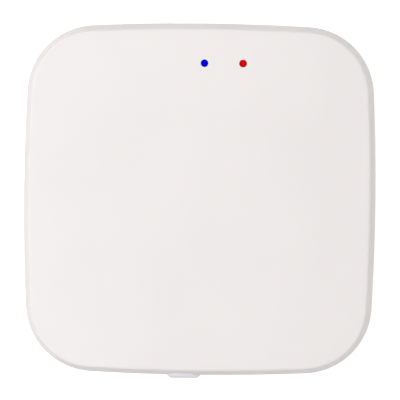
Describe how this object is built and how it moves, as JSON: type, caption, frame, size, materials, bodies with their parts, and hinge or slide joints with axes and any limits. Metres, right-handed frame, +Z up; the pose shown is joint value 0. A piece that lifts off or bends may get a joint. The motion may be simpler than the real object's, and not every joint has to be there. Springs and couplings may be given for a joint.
{
  "type": "smart home hub",
  "caption": "Square low wireless gateway for smart home devices, in a rounded white case with a side button and two indicator lights on top.",
  "frame": {"origin": "on the table, under the middle of the case", "axes": "+Z up, +Y from the reset button towards the power socket, +X to the right seen from above with the lights at the far side"},
  "size_m": [0.06, 0.0604, 0.015],
  "materials": {
    "case_white": "fine moulded satin texture",
    "button_white": "smooth moulded, a little cooler than the case",
    "blue_light": "clear acrylic, lit blue",
    "red_light": "clear acrylic, lit red",
    "foot_rubber": "matt silicone",
    "label_paper": "blank sticker",
    "screw_steel": "zinc plated",
    "board_green": "glass fibre with green solder mask",
    "module_board": "glass fibre with black solder mask",
    "gold": "gold plated",
    "solder": "bright solder",
    "tin": "tin plated",
    "socket_steel": "nickel plated sheet",
    "can_steel": "tin plated sheet",
    "spring_steel": "polished spring steel",
    "capacitor_aluminium": "bright can",
    "copper": "copper under clear coating",
    "black_plastic": "moulded",
    "plunger_plastic": "moulded",
    "chip_epoxy": "moulded epoxy",
    "tantalum_yellow": "moulded epoxy",
    "led_white": "moulded",
    "resistor_black": "glazed film on ceramic",
    "capacitor_ceramic": "bare ceramic",
    "fuse_green": "coated"
  },
  "bodies": {
    "case": {"blue_led_base": "led_white", "blue_led_lens": "blue_light", "blue_light_pipe": "blue_light", "board_screws": "screw_steel", "bottom_case": "case_white", "ceramic_capacitor_bodies": "capacitor_ceramic", "ceramic_capacitor_ends": "tin", "debug_pads": "gold", "fuse_ends": "tin", "input_capacitor_base": "black_plastic", "input_capacitor_can": "capacitor_aluminium", "input_capacitor_terminals": "tin", "main_board": "board_green", "mesh_antenna": "copper", "mesh_crystal": "can_steel", "mesh_module_board": "module_board", "mesh_module_solder": "solder", "mesh_radio_chip": "chip_epoxy", "mesh_shield_can": "can_steel", "output_capacitor": "tantalum_yellow", "output_capacitor_terminals": "tin", "pin_solder": "solder", "rating_label": "label_paper", "red_led_base": "led_white", "red_led_lens": "red_light", "red_light_pipe": "red_light", "regulator_body": "chip_epoxy", "regulator_leads": "tin", "resettable_fuse": "fuse_green", "resistor_bodies": "resistor_black", "resistor_ends": "tin", "rubber_feet": "foot_rubber", "surge_diode_body": "chip_epoxy", "surge_diode_leads": "tin", "switch_bracket": "socket_steel", "switch_dome": "spring_steel", "switch_housing": "black_plastic", "switch_terminals": "tin", "top_cover": "case_white", "usb_contacts": "gold", "usb_insulator": "black_plastic", "usb_shell": "socket_steel", "wlan_antenna": "copper", "wlan_crystal": "can_steel", "wlan_flash_chip": "chip_epoxy", "wlan_module_board": "module_board", "wlan_module_solder": "solder", "wlan_radio_chip": "chip_epoxy", "wlan_shield_can": "can_steel"},
    "button": {"reset_button": "button_white"},
    "plunger": {"switch_plunger": "plunger_plastic"}
  },
  "joints": [
    {"name": "reset_button_press", "type": "slide", "parent": "case", "child": "button", "axis": [0, 1, 0], "range_m": [0, 0.0003], "stiffness_N_per_m": 5000},
    {"name": "switch_plunger_press", "type": "slide", "parent": "case", "child": "plunger", "axis": [0, 1, 0], "range_m": [0, 0.0003], "deforming": ["switch_dome"]}
  ],
  "couplings": [
    {"joint": "switch_plunger_press", "follows": "reset_button_press", "ratio": 1}
  ]
}
